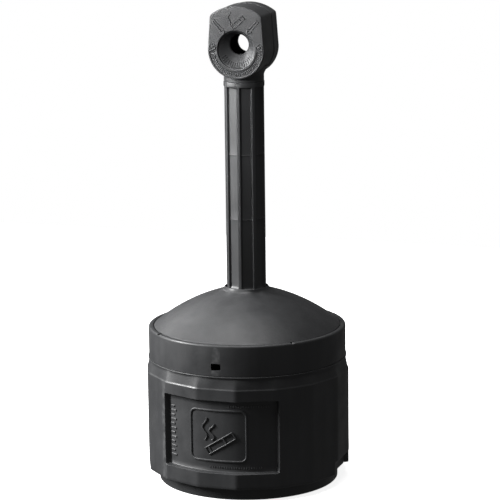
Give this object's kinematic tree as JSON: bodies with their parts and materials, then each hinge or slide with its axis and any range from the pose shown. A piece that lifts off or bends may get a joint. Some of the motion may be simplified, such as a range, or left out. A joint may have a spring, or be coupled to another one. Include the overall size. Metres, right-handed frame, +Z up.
{
  "type": "outdoor ashtray bin",
  "caption": "Free-standing ashtray bin: faceted base, domed cover with a fluted neck, and a head with open snuffing dishes above a steel pail.",
  "frame": {"origin": "middle of the foot, at floor level", "axes": "+Z up along the neck; the front, with the label field and the front dish, faces -Y; +X is to the viewer's right"},
  "size_m": [0.41, 0.41, 0.978],
  "materials": {
    "charcoal_hdpe": "moulded polyethylene with a fine satin grain",
    "galvanised_steel": "hot-dip galvanised sheet, spangled",
    "zinc_wire": "drawn zinc-plated wire",
    "rivet_steel": "plated rivets",
    "screw_steel": "stainless screws"
  },
  "bodies": {
    "base": {"base_shell": "charcoal_hdpe"},
    "cover": {"cover_dome": "charcoal_hdpe", "neck_tube": "charcoal_hdpe", "neck_screws": "screw_steel", "head_front_shell": "charcoal_hdpe", "head_rear_shell": "charcoal_hdpe", "head_screws": "screw_steel"},
    "pail": {"pail_wall": "galvanised_steel", "pail_bottom": "galvanised_steel", "pail_ear_left": "galvanised_steel", "pail_ear_right": "galvanised_steel", "ear_rivets": "rivet_steel"},
    "bail": {"pail_bail": "zinc_wire"}
  },
  "joints": [
    {"name": "cover_lift", "type": "slide", "parent": "base", "child": "cover", "axis": [0, 0, 1], "range_m": [0, 0.62]},
    {"name": "pail_lift", "type": "slide", "parent": "base", "child": "pail", "axis": [0, 0, 1], "range_m": [0, 0.28]},
    {"name": "bail_swing", "type": "hinge", "parent": "pail", "child": "bail", "pos_m": [0, 0, 0.227], "axis": [-1, 0, 0], "range_deg": [0, 118]}
  ],
  "couplings": [
    {"joint": "pail_lift", "follows": "cover_lift", "ratio": 0.45},
    {"joint": "bail_swing", "follows": "cover_lift", "rad_per_m": 3.3}
  ]
}
